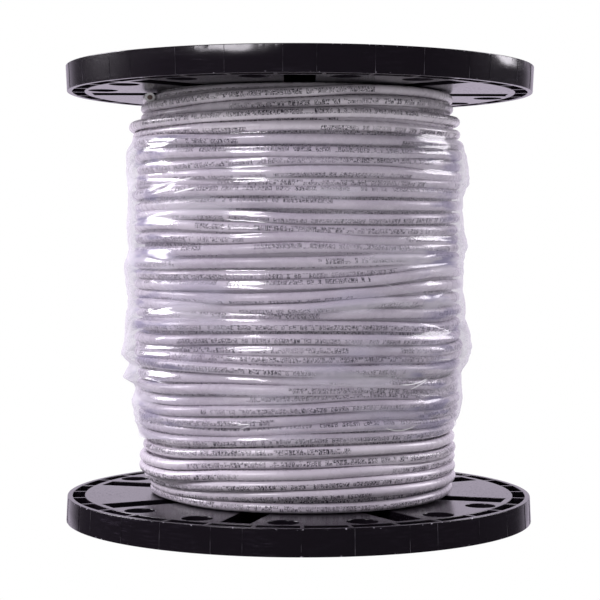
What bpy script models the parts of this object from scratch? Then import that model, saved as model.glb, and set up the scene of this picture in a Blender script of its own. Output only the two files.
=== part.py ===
"""A full reel of building wire, standing on its lower flange.

Two moulded plastic flanges plug into the ends of a barrel. The wire is wound on the barrel between them, and a
loose sleeve of clear film covers most of the winding. Metres, +Z up, with the origin at the centre of the base.
"""

import math

import bmesh
import bpy

# Reel
FLANGE_DIAMETER = 0.3048
FLANGE_HEIGHT = 0.0165
TRAVERSE = 0.2616
BARREL_DIAMETER = 0.127
BARREL_WALL = 0.0032
ARBOR_DIAMETER = 0.0381

# Flange moulding, seen on the face that meets the winding
SKIN = 0.003
RIM_WALL = 0.0034
RIM_DRAFT = 0.0008
RIM_LIP = 0.001
RIM_POCKET_WIDTH = 0.0078
RIM_RIB = 0.0025
RIM_POCKETS_A_SEGMENT = 4
EDGE_WALL = 0.0045
SEGMENTS = 8
CHANNEL_WIDTH = 0.0186
CHANNEL_ROOT = 0.0065
HOLE_DIAMETER = 0.0188
HOLE_EDGE = 0.002
HOLE_SPREAD = math.radians(10.5)
PLAIN_SEGMENTS = (3, 7)
LOWER_FLANGE_TURN = math.radians(29)
UPPER_FLANGE_TURN = math.radians(-45)

# Flange hub, inside the barrel
SPIGOT_HEIGHT = 0.012
SPIGOT_WALL = 0.0032
ARBOR_COLLAR = 0.005
HUB_PLATE = 0.004
HUB_RIB_HEIGHT = 0.006
HUB_RIB = 0.003

# Winding
WIRE_DIAMETER = 0.0063
WINDING_DIAMETER = 0.2134
WINDING_LEAN = 0.0016
WINDING_FOOT_STEP = 0.005
WINDING_FOOT_HEIGHT = 0.075
WINDING_HEAD_STEP = 0.006
WINDING_HEAD_HEIGHT = 0.02

# Film sleeve, with its stand-off from the turns at front and back, and at even steps up its left and right
FILM_THICKNESS = 0.0004
FILM_BASE = 0.0435
FILM_LENGTH = 0.187
FILM_SLACK = 0.0012
FILM_SLACK_LEFT = (0.0, 0.0025, 0.0018, 0.007, 0.0086, 0.0062, 0.0046, 0.0055,
                   0.007, 0.0042, 0.005, 0.004, 0.0052, 0.005, 0.0)
FILM_SLACK_RIGHT = (0.0, 0.001, 0.0018, 0.0008, 0.006, 0.0052, 0.0024, 0.0015,
                    0.0022, 0.005, 0.0026, 0.0016, 0.005, 0.0026, 0.0)
FILM_SIDE_FALL = 2.5

# Gap between pieces that touch, reach of a cutter past a face, and sides of round shapes
CLEARANCE = 0.0003
CUT_PAST = 0.001
FLANGE_STEPS = 48
WINDING_STEPS = 28
HOLE_STEPS = 12

# Sizes that follow
REEL_HEIGHT = TRAVERSE + 2 * FLANGE_HEIGHT
FLANGE_RADIUS = FLANGE_DIAMETER / 2
BARREL_RADIUS = BARREL_DIAMETER / 2
ARBOR_RADIUS = ARBOR_DIAMETER / 2
RIM_INNER_RADIUS = FLANGE_RADIUS - RIM_DRAFT - RIM_WALL
FACE_RADIUS = RIM_INNER_RADIUS - RIM_POCKET_WIDTH
SEGMENT_ANGLE = 2 * math.pi / SEGMENTS
CHANNEL_START = BARREL_RADIUS + CHANNEL_ROOT
CHANNEL_END = FACE_RADIUS - EDGE_WALL
HOLE_CIRCLE_RADIUS = FACE_RADIUS - HOLE_EDGE - HOLE_DIAMETER / 2
SPIGOT_RADIUS = BARREL_RADIUS - BARREL_WALL - CLEARANCE
WINDING_BOTTOM = FLANGE_HEIGHT + CLEARANCE
WINDING_HEIGHT = TRAVERSE - 2 * CLEARANCE
FILM_RINGS = len(FILM_SLACK_LEFT) - 1


def clear_scene():
    for obj in list(bpy.data.objects):
        bpy.data.objects.remove(obj)


def new_collection(name):
    collection = bpy.data.collections.new(name)
    bpy.context.scene.collection.children.link(collection)
    return collection


def material(name, colour, roughness, alpha=1.0):
    found = bpy.data.materials.new(name)
    found.use_nodes = True
    shader = found.node_tree.nodes["Principled BSDF"]
    shader.inputs["Base Color"].default_value = (*colour, 1.0)
    shader.inputs["Roughness"].default_value = roughness
    shader.inputs["Alpha"].default_value = alpha
    return found


def place(name, mesh, collection, look=None):
    """Adds an object for this mesh, shaded smooth on its round faces."""
    if look:
        mesh.materials.clear()
        mesh.materials.append(look)
    mesh.shade_smooth()
    mesh.set_sharp_from_angle(angle=math.radians(35))
    obj = bpy.data.objects.new(name, mesh)
    collection.objects.link(obj)
    return obj


def settled_mesh(obj, name):
    """The mesh that the object's modifiers make, as plain mesh data. The object is removed."""
    bpy.context.view_layer.update()
    graph = bpy.context.evaluated_depsgraph_get()
    mesh = bpy.data.meshes.new_from_object(obj.evaluated_get(graph))
    mesh.name = name
    bpy.data.objects.remove(obj)
    return mesh


def turned(name, profile, steps):
    """A ring turned about Z from a closed profile of (radius, height) points, listed down its outer side first.

    It starts half a step past +X, so that its facets' edges miss the corners of what is cut into them.
    """
    mesh = bpy.data.meshes.new(name)
    count = len(profile)
    start = math.pi / steps
    points = [(*polar(radius, start), height) for radius, height in profile]
    mesh.from_pydata(points, [(i, (i + 1) % count) for i in range(count)], [])
    obj = bpy.data.objects.new(name, mesh)
    bpy.context.scene.collection.objects.link(obj)
    screw = obj.modifiers.new("turn", "SCREW")
    screw.axis = "Z"
    screw.steps = steps
    screw.render_steps = steps
    screw.use_merge_vertices = True
    screw.merge_threshold = 0.0001
    return settled_mesh(obj, name)


def prisms(name, outlines, bottom, top, collection):
    """A cutter of upright prisms with these flat outlines, as one object."""
    curve = bpy.data.curves.new(name, "CURVE")
    curve.dimensions = "2D"
    curve.fill_mode = "BOTH"
    curve.extrude = (top - bottom) / 2
    for outline in outlines:
        spline = curve.splines.new("POLY")
        spline.points.add(len(outline) - 1)
        for point, (x, y) in zip(spline.points, outline):
            point.co = (x, y, 0.0, 1.0)
        spline.use_cyclic_u = True
    flat = bpy.data.objects.new(name, curve)
    flat.location.z = (top + bottom) / 2
    collection.objects.link(flat)
    matrix = flat.matrix_basis.copy()
    mesh = settled_mesh(flat, name)
    bpy.data.curves.remove(curve)
    shape = bmesh.new()
    shape.from_mesh(mesh)
    bmesh.ops.remove_doubles(shape, verts=shape.verts, dist=1e-6)
    bmesh.ops.recalc_face_normals(shape, faces=shape.faces)
    shape.to_mesh(mesh)
    shape.free()
    cutter = bpy.data.objects.new(name, mesh)
    cutter.matrix_world = matrix
    cutter.hide_render = True
    cutter.display_type = "WIRE"
    collection.objects.link(cutter)
    return cutter


def polar(radius, angle):
    return radius * math.cos(angle), radius * math.sin(angle)


def arc(radius, start, end, steps):
    return [polar(radius, start + (end - start) * i / steps) for i in range(steps + 1)]


def sector(middle, inner, outer, inner_half, outer_half, steps):
    """Outline of a piece of a ring about the angle middle, with its own half angle at each radius."""
    far = arc(outer, middle - outer_half, middle + outer_half, steps)
    near = arc(inner, middle + inner_half, middle - inner_half, steps)
    return far + near


def channel_outline(angle):
    """A straight radial groove of even width."""
    half = CHANNEL_WIDTH / 2
    along = math.cos(angle), math.sin(angle)
    corners = ((CHANNEL_START, -half), (CHANNEL_END, -half), (CHANNEL_END, half), (CHANNEL_START, half))
    return [(r * along[0] - s * along[1], r * along[1] + s * along[0]) for r, s in corners]


def cell_outline(middle):
    """The hollow behind a face segment, with even walls to the channel on each side."""
    wall = CHANNEL_WIDTH / 2 + SKIN
    inner_half = SEGMENT_ANGLE / 2 - math.asin(wall / CHANNEL_START)
    outer_half = SEGMENT_ANGLE / 2 - math.asin(wall / CHANNEL_END)
    return sector(middle, CHANNEL_START, CHANNEL_END, inner_half, outer_half, 4)


def flange_mesh(cutters):
    """One flange with its outer face down at z = 0 and its channels facing up."""
    hub_floor = HUB_RIB_HEIGHT + HUB_PLATE
    spigot_top = FLANGE_HEIGHT + SPIGOT_HEIGHT
    lip_radius = FLANGE_RADIUS - RIM_DRAFT
    collar_radius = ARBOR_RADIUS + ARBOR_COLLAR
    spigot_inner = SPIGOT_RADIUS - SPIGOT_WALL
    profile = (
        (lip_radius - RIM_LIP, FLANGE_HEIGHT),
        (lip_radius, FLANGE_HEIGHT - RIM_LIP),
        (FLANGE_RADIUS, RIM_LIP),
        (FLANGE_RADIUS - RIM_LIP, 0.0),
        (ARBOR_RADIUS, 0.0),
        (ARBOR_RADIUS, FLANGE_HEIGHT),
        (collar_radius, FLANGE_HEIGHT),
        (collar_radius, hub_floor),
        (spigot_inner, hub_floor),
        (spigot_inner, spigot_top),
        (SPIGOT_RADIUS, spigot_top),
        (SPIGOT_RADIUS, FLANGE_HEIGHT),
    )
    body = bpy.data.objects.new("flange", turned("flange", profile, FLANGE_STEPS))
    bpy.context.scene.collection.objects.link(body)

    channels = [channel_outline(i * SEGMENT_ANGLE) for i in range(SEGMENTS)]
    cells = [cell_outline((i + 0.5) * SEGMENT_ANGLE) for i in range(SEGMENTS)]

    pocket_count = SEGMENTS * RIM_POCKETS_A_SEGMENT
    pocket_step = 2 * math.pi / pocket_count
    pocket_half = pocket_step / 2 - RIM_RIB / 2 / FACE_RADIUS
    pockets = [
        sector(i * pocket_step, FACE_RADIUS, RIM_INNER_RADIUS, pocket_half, pocket_half, 2)
        for i in range(pocket_count)
    ]

    hub_inner_half = SEGMENT_ANGLE / 2 - math.asin(HUB_RIB / 2 / collar_radius)
    hub_outer_half = SEGMENT_ANGLE / 2 - math.asin(HUB_RIB / 2 / spigot_inner)
    hub_cells = [
        sector((i + 0.5) * SEGMENT_ANGLE, collar_radius, spigot_inner, hub_inner_half, hub_outer_half, 3)
        for i in range(SEGMENTS)
    ]

    holes = []
    for i in range(SEGMENTS):
        if i in PLAIN_SEGMENTS:
            continue
        for side in (-1, 1):
            x, y = polar(HOLE_CIRCLE_RADIUS, (i + 0.5) * SEGMENT_ANGLE + side * HOLE_SPREAD)
            rim = arc(HOLE_DIAMETER / 2, 0.0, 2 * math.pi, HOLE_STEPS)[:-1]
            holes.append([(x + dx, y + dy) for dx, dy in rim])

    above = FLANGE_HEIGHT + CUT_PAST
    cuts = (
        ("channels", channels, SKIN, above),
        ("rim_pockets", pockets, SKIN, above),
        ("segment_cells", cells, -CUT_PAST, FLANGE_HEIGHT - SKIN),
        ("hub_cells", hub_cells, -CUT_PAST, HUB_RIB_HEIGHT),
        ("flange_holes", holes, -CUT_PAST, above),
    )
    for name, outlines, bottom, top in cuts:
        cut = body.modifiers.new(name, "BOOLEAN")
        cut.operation = "DIFFERENCE"
        cut.object = prisms(name, outlines, bottom, top, cutters)
    return settled_mesh(body, "flange")


def barrel_mesh():
    bottom = FLANGE_HEIGHT + CLEARANCE
    top = FLANGE_HEIGHT + TRAVERSE - CLEARANCE
    inner = BARREL_RADIUS - BARREL_WALL
    profile = ((BARREL_RADIUS, top), (BARREL_RADIUS, bottom), (inner, bottom), (inner, top))
    return turned("barrel", profile, FLANGE_STEPS)


def eased(share):
    share = min(1.0, max(0.0, share))
    return share * share * (3 - 2 * share)


def winding_radius(height):
    """Mean outer radius of the turns at this height above the winding's foot. They lie deeper at its foot and head."""
    foot = WINDING_FOOT_STEP * (1 - eased(height / WINDING_FOOT_HEIGHT))
    head = WINDING_HEAD_STEP * (1 - eased((WINDING_HEIGHT - height) / WINDING_HEAD_HEIGHT))
    return WINDING_DIAMETER / 2 - foot - head


def move_out(mesh, inner, reach):
    """Moves what lies outside the radius inner away from the axis by reach(side, z).

    side is 1 on the left, -1 on the right and 0 at front and back.
    """
    for vertex in mesh.vertices:
        radius = math.hypot(vertex.co.x, vertex.co.y)
        if radius > inner:
            share = 1 + reach(-vertex.co.x / radius, vertex.co.z) / radius
            vertex.co.x *= share
            vertex.co.y *= share


def winding_mesh():
    """The whole wound wire as one ring, with a ridge for each turn of its outer layer."""
    turns = int(WINDING_HEIGHT / WIRE_DIAMETER)
    pitch = WINDING_HEIGHT / turns
    groove = WIRE_DIAMETER * 0.35
    shoulder = pitch * 0.25
    # The ring has fewer sides than the barrel, so its bore is measured across its flats.
    bore = (BARREL_RADIUS + CLEARANCE) / math.cos(math.pi / WINDING_STEPS)
    profile = []
    for i in reversed(range(turns)):
        middle = (i + 0.5) * pitch
        crest = winding_radius(middle)
        profile.append((crest - groove, WINDING_BOTTOM + middle + pitch / 2))
        profile.append((crest, WINDING_BOTTOM + middle + shoulder))
        profile.append((crest, WINDING_BOTTOM + middle - shoulder))
    profile.append((winding_radius(0.0) - groove, WINDING_BOTTOM))
    profile.append((bore, WINDING_BOTTOM))
    profile.append((bore, WINDING_BOTTOM + WINDING_HEIGHT))
    mesh = turned("wire_winding", profile, WINDING_STEPS)
    # The wire was laid unevenly, so the winding reaches out more on the left
    move_out(mesh, bore + WIRE_DIAMETER, lambda side, z: WINDING_LEAN * side)
    return mesh


def film_reach(side, z):
    """How much further out the film lies than the mean turns: loose at its sides, closer at front and back."""
    share = (z - FLANGE_HEIGHT - FILM_BASE) / FILM_LENGTH
    bulges = FILM_SLACK_LEFT if side > 0 else FILM_SLACK_RIGHT
    weight = abs(side) ** FILM_SIDE_FALL
    between = FILM_SLACK * math.sin(math.pi * min(1.0, max(0.0, share)))
    slack = between * (1 - weight) + bulges[round(share * FILM_RINGS)] * weight
    return WINDING_LEAN * side + slack


def film_mesh():
    """A thin loose sleeve that touches the turns at both its edges and bulges off them between."""
    inside = []
    for i in range(FILM_RINGS + 1):
        height = FILM_BASE + FILM_LENGTH * i / FILM_RINGS
        inside.append((winding_radius(height) + CLEARANCE, FLANGE_HEIGHT + height))
    outside = [(radius + FILM_THICKNESS, height) for radius, height in reversed(inside)]
    mesh = turned("clear_film", outside + inside, WINDING_STEPS)
    move_out(mesh, 0.0, film_reach)
    return mesh


def main():
    clear_scene()
    reel = new_collection("reel_of_electrical_wire")
    cutters = new_collection("cutters")

    black_plastic = material("black moulded plastic", (0.012, 0.012, 0.014), 0.35)
    grey_nylon = material("pale grey nylon jacket", (0.52, 0.51, 0.55), 0.28)
    clear_plastic = material("clear polyethylene film", (0.9, 0.9, 0.92), 0.08, alpha=0.2)

    flange = flange_mesh(cutters)
    lower = place("flange_lower", flange, reel, black_plastic)
    lower.rotation_euler.z = LOWER_FLANGE_TURN
    upper = place("flange_upper", flange, reel, black_plastic)
    upper.location.z = REEL_HEIGHT
    upper.rotation_euler = (math.pi, 0.0, UPPER_FLANGE_TURN)

    place("barrel", barrel_mesh(), reel, black_plastic)
    place("wire_winding", winding_mesh(), reel, grey_nylon)
    place("clear_film", film_mesh(), reel, clear_plastic)
    bpy.context.view_layer.update()


main()
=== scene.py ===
import math

import bmesh
import bpy
import numpy as np
from mathutils import Matrix, Vector


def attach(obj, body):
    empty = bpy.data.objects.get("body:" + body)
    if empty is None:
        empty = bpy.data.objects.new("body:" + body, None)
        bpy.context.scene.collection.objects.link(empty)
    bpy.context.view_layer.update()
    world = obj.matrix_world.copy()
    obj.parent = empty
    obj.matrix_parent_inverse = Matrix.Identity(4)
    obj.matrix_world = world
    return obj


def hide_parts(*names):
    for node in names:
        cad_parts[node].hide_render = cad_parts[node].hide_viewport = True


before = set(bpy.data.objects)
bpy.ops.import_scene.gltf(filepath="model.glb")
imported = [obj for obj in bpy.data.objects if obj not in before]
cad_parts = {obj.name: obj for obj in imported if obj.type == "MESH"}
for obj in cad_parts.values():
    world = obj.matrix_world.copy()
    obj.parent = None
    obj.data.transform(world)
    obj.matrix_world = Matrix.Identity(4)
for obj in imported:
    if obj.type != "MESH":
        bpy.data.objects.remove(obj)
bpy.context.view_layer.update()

# A full reel of building wire: black moulded flanges, one long pale grey wire and a loose clear film.
# Lengths are metres unless a name says Mm, angles are degrees, and the camera looks along +Y.
scene = bpy.context.scene
mm = 0.001


def linear(hexColour):
    # sRGB hex to the linear RGBA that shaders take
    parts = [int(hexColour[i:i + 2], 16) / 255 for i in (1, 3, 5)]
    return tuple(p / 12.92 if p <= 0.04045 else ((p + 0.055) / 1.055) ** 2.4 for p in parts) + (1.0,)


def addNode(tree, kind, settings=None, inputs=None):
    # One shader node with its settings. An input is a value, or the socket or node that it is linked from:
    # a node gives its first output.
    node = tree.nodes.new("ShaderNode" + kind)
    for name, value in (settings or {}).items():
        setattr(node, name, value)
    for name, value in (inputs or {}).items():
        if isinstance(value, bpy.types.Node):
            value = value.outputs[0]
        if isinstance(value, bpy.types.NodeSocket):
            tree.links.new(value, node.inputs[name])
        else:
            node.inputs[name].default_value = value
    return node


multiply, multiplyAdd, subtract, divide, power, maximum, absolute = ({"operation": name} for name in (
    "MULTIPLY", "MULTIPLY_ADD", "SUBTRACT", "DIVIDE", "POWER", "MAXIMUM", "ABSOLUTE"))
colourMix = {"data_type": "RGBA"}
softStep = {"interpolation_type": "SMOOTHSTEP"}


def newMaterial(name):
    # An empty material. Scales in the materials are noise cells per metre, so 500 gives marks 2 mm wide.
    material = bpy.data.materials.new(name)
    material.use_nodes = True
    material.node_tree.nodes.clear()
    return material, material.node_tree


def ripples(seed, count, roundWaves, upLength):
    # Smooth seeded waves over angle and height, which close on themselves round the reel
    pick = np.random.default_rng(seed)
    around = pick.integers(roundWaves[0], roundWaves[1] + 1, count)
    up = 2 * math.pi / pick.uniform(*upLength, count) * pick.choice((-1, 1), count)
    phase = pick.uniform(0, 2 * math.pi, count)

    def height(angle, z):
        angle, z = np.broadcast_arrays(np.asarray(angle, float), np.asarray(z, float))
        waves = np.cos(around * angle[..., None] + up * z[..., None] + phase)
        return waves.sum(-1) * math.sqrt(2 / count)
    return height


def smooth(value):
    value = np.clip(value, 0, 1)
    return value * value * (3 - 2 * value)


# The camera, a little above the reel's middle and looking slightly down
cameraSettings = {
    "place": (0.0005, -1.1505, 0.18071),
    "pitchDown": 1.868,
    "roll": 0.16,
    "lens": 104.79,
    "sensor": 36,
    "farthest": 50,
}
cameraData = bpy.data.cameras.new("camera")
cameraData.lens = cameraSettings["lens"]
cameraData.sensor_width = cameraSettings["sensor"]
cameraData.clip_end = cameraSettings["farthest"]
camera = bpy.data.objects.new("camera", cameraData)
look = Matrix.Rotation(math.radians(90 - cameraSettings["pitchDown"]), 4, "X")
turn = Matrix.Rotation(math.radians(cameraSettings["roll"]), 4, "Z")
camera.matrix_world = Matrix.Translation(cameraSettings["place"]) @ look @ turn
scene.collection.objects.link(camera)
scene.camera = camera
print("camera placed")


# The two black moulded flanges
flange = {
    "radius": 0.1524,
    "height": 0.0165,
    "skin": 0.003,
    "draft": 0.0008,
    "rimWall": 0.0034,
    "pocketWidth": 0.0078,
    "pocketRib": 0.0025,
    "pocketCount": 32,
    "edgeWall": 0.0045,
    "segments": 8,
    "channelWidth": 0.0186,
    "channelStart": 0.070,
    "holeRadius": 0.0094,
    "holeEdge": 0.002,
    "holeSpread": 10.5,
    "plainSegments": (3, 7),
    "arborRadius": 0.01905,
    "collar": 0.005,
    "spigotRadius": 0.060,
    "spigotWall": 0.0032,
    "spigotHeight": 0.012,
    "hubFloor": 0.010,
    "hubRibHeight": 0.006,
    "hubRib": 0.003,
    "roundedEdge": 0.00045,
    "edgeAngle": 40,           # corners sharper than this are rounded
    "flatWeight": 80,          # how much flat faces hold the shading that they share with rounded edges
    "steps": 192,              # round the flange
    "cellSteps": 12,
    "hubSteps": 8,
    "pocketSteps": 6,
    "holeSteps": 40,
    "reelHeight": 0.2946,
    "lowerTurn": 29,
    "upperTurn": -45,
    "seamWidth": 0.0008,       # upright seams stand in pairs beside each channel and each segment's middle
    "seamProud": 0.0002,
    "seamFoot": 0.0002,        # how deep its feet lie in the rim
    "channelSeams": 3.65,      # degrees from the channel's middle
    "middleSeams": 5.9,
    "rimFace": (0.1508, 0.1512),   # points past these radii are on the rim
    "lip": (0.0072, 0.0079),   # points this far from mid height are on its lips
    "crownLength": 0.0085,     # the rim curves in towards its outer edge over this height, by this much
    "crownDepth": 0.00145,
    "crownWaves": 4,           # it does so on this many stretches of the rim, the first at this angle
    "crownAngle": 65,
    "black": "#100c12",
    "rubbed": "#28222d",
    "scrapeAndGlint": "#a5a0ab",
    "ior": 1.55,               # polystyrene is 1.55 to 1.59
}


def polar(radius, angle):
    return radius * math.cos(angle), radius * math.sin(angle)


def ringMesh(name, outlines):
    # Closed outlines of points, listed down their outer side first, joined one to the next all the way round
    count = len(outlines[0])
    points = [point for outline in outlines for point in outline]
    faces = []
    for k in range(len(outlines)):
        after = (k + 1) % len(outlines)
        for i in range(count):
            j = (i + 1) % count
            faces.append((k * count + i, k * count + j, after * count + j, after * count + i))
    mesh = bpy.data.meshes.new(name)
    mesh.from_pydata(points, [], faces)
    return mesh


def prisms(name, outlines, bottom, top):
    # A cutter of upright prisms with these flat outlines, as one object
    shape = bmesh.new()
    for outline in outlines:
        low = [shape.verts.new((x, y, bottom)) for x, y in outline]
        high = [shape.verts.new((x, y, top)) for x, y in outline]
        shape.faces.new(list(reversed(low)))
        shape.faces.new(high)
        for i in range(len(outline)):
            j = (i + 1) % len(outline)
            shape.faces.new((low[i], low[j], high[j], high[i]))
    bmesh.ops.recalc_face_normals(shape, faces=shape.faces)
    mesh = bpy.data.meshes.new(name)
    shape.to_mesh(mesh)
    shape.free()
    cutter = bpy.data.objects.new(name, mesh)
    scene.collection.objects.link(cutter)
    return cutter


def sector(middle, inner, outer, innerHalf, outerHalf, steps):
    def arc(radius, start, end):
        return [polar(radius, start + (end - start) * i / steps) for i in range(steps + 1)]
    outside = arc(outer, middle - outerHalf, middle + outerHalf)
    return outside + arc(inner, middle + innerHalf, middle - innerHalf)


def settledMesh(obj, name):
    # What the object's modifiers make, as plain mesh data. The object is removed.
    bpy.context.view_layer.update()
    graph = bpy.context.evaluated_depsgraph_get()
    mesh = bpy.data.meshes.new_from_object(obj.evaluated_get(graph))
    mesh.name = name
    bpy.data.objects.remove(obj)
    return mesh


def flangeMesh():
    # One flange, outer face down at z = 0 and channels facing up
    f = flange
    lipRadius = f["radius"] - f["draft"]
    rimInner = lipRadius - f["rimWall"]
    faceRadius = rimInner - f["pocketWidth"]
    channelEnd = faceRadius - f["edgeWall"]
    holeCircle = faceRadius - f["holeEdge"] - f["holeRadius"]
    collarRadius = f["arborRadius"] + f["collar"]
    spigotInner = f["spigotRadius"] - f["spigotWall"]
    spigotTop = f["height"] + f["spigotHeight"]
    profile = (
        (lipRadius, f["height"]),
        (f["radius"], 0.0),
        (f["arborRadius"], 0.0),
        (f["arborRadius"], f["height"]),
        (collarRadius, f["height"]),
        (collarRadius, f["hubFloor"]),
        (spigotInner, f["hubFloor"]),
        (spigotInner, spigotTop),
        (f["spigotRadius"], spigotTop),
        (f["spigotRadius"], f["height"]),
    )
    turns = [2 * math.pi * (k + 0.5) / f["steps"] for k in range(f["steps"])]
    outlines = [[(*polar(radius, angle), z) for radius, z in profile] for angle in turns]
    body = bpy.data.objects.new("flangeBody", ringMesh("flangeBody", outlines))
    scene.collection.objects.link(body)

    segmentAngle = 2 * math.pi / f["segments"]
    half = f["channelWidth"] / 2
    channels = []
    for i in range(f["segments"]):
        c, s = math.cos(i * segmentAngle), math.sin(i * segmentAngle)
        start = f["channelStart"]
        corners = ((start, -half), (channelEnd, -half), (channelEnd, half), (start, half))
        channels.append([(r * c - t * s, r * s + t * c) for r, t in corners])
    wall = half + f["skin"]
    cellInner = segmentAngle / 2 - math.asin(wall / f["channelStart"])
    cellOuter = segmentAngle / 2 - math.asin(wall / channelEnd)
    pocketStep = 2 * math.pi / f["pocketCount"]
    pocketHalf = pocketStep / 2 - f["pocketRib"] / 2 / faceRadius
    hubInner = segmentAngle / 2 - math.asin(f["hubRib"] / 2 / collarRadius)
    hubOuter = segmentAngle / 2 - math.asin(f["hubRib"] / 2 / spigotInner)
    middles = [(i + 0.5) * segmentAngle for i in range(f["segments"])]
    cells = [sector(m, f["channelStart"], channelEnd, cellInner, cellOuter, f["cellSteps"]) for m in middles]
    hubCells = [sector(m, collarRadius, spigotInner, hubInner, hubOuter, f["hubSteps"]) for m in middles]
    pockets = [sector(i * pocketStep, faceRadius, rimInner, pocketHalf, pocketHalf, f["pocketSteps"])
               for i in range(f["pocketCount"])]
    holes = []
    for i, middle in enumerate(middles):
        if i in f["plainSegments"]:
            continue
        for side in (-1, 1):
            x, y = polar(holeCircle, middle + side * math.radians(f["holeSpread"]))
            sides = f["holeSteps"]
            rim = [polar(f["holeRadius"], 2 * math.pi * k / sides + 0.01) for k in range(sides)]
            holes.append([(x + dx, y + dy) for dx, dy in rim])

    past = 1 * mm
    above = f["height"] + past
    cutters = [
        prisms("channels", channels, f["skin"], above),
        prisms("pockets", pockets, f["skin"], above),
        prisms("cells", cells, -past, f["height"] - f["skin"]),
        prisms("hubCells", hubCells, -past, f["hubRibHeight"]),
        prisms("holes", holes, -past, above),
    ]
    for cutter in cutters:
        cut = body.modifiers.new(cutter.name, "BOOLEAN")
        cut.operation = "DIFFERENCE"
        cut.object = cutter
    mesh = settledMesh(body, "flangeCut")
    for cutter in cutters:
        bpy.data.objects.remove(cutter)
    shape = bmesh.new()
    shape.from_mesh(mesh)
    bmesh.ops.remove_doubles(shape, verts=shape.verts, dist=1e-5)
    bmesh.ops.dissolve_limit(shape, angle_limit=math.radians(0.5), verts=shape.verts, edges=shape.edges)
    shape.to_mesh(mesh)
    shape.free()
    mesh.shade_smooth()
    rounded = bpy.data.objects.new("flangeRounded", mesh)
    scene.collection.objects.link(rounded)
    bevel = rounded.modifiers.new("roundedEdges", "BEVEL")
    bevel.width = f["roundedEdge"]
    bevel.segments = 2
    bevel.limit_method = "ANGLE"
    bevel.angle_limit = math.radians(f["edgeAngle"])
    bevel.use_clamp_overlap = False
    bevel.harden_normals = False
    weighted = rounded.modifiers.new("flatFaces", "WEIGHTED_NORMAL")
    weighted.weight = f["flatWeight"]
    weighted.keep_sharp = False
    return settledMesh(rounded, "flange")


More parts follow.
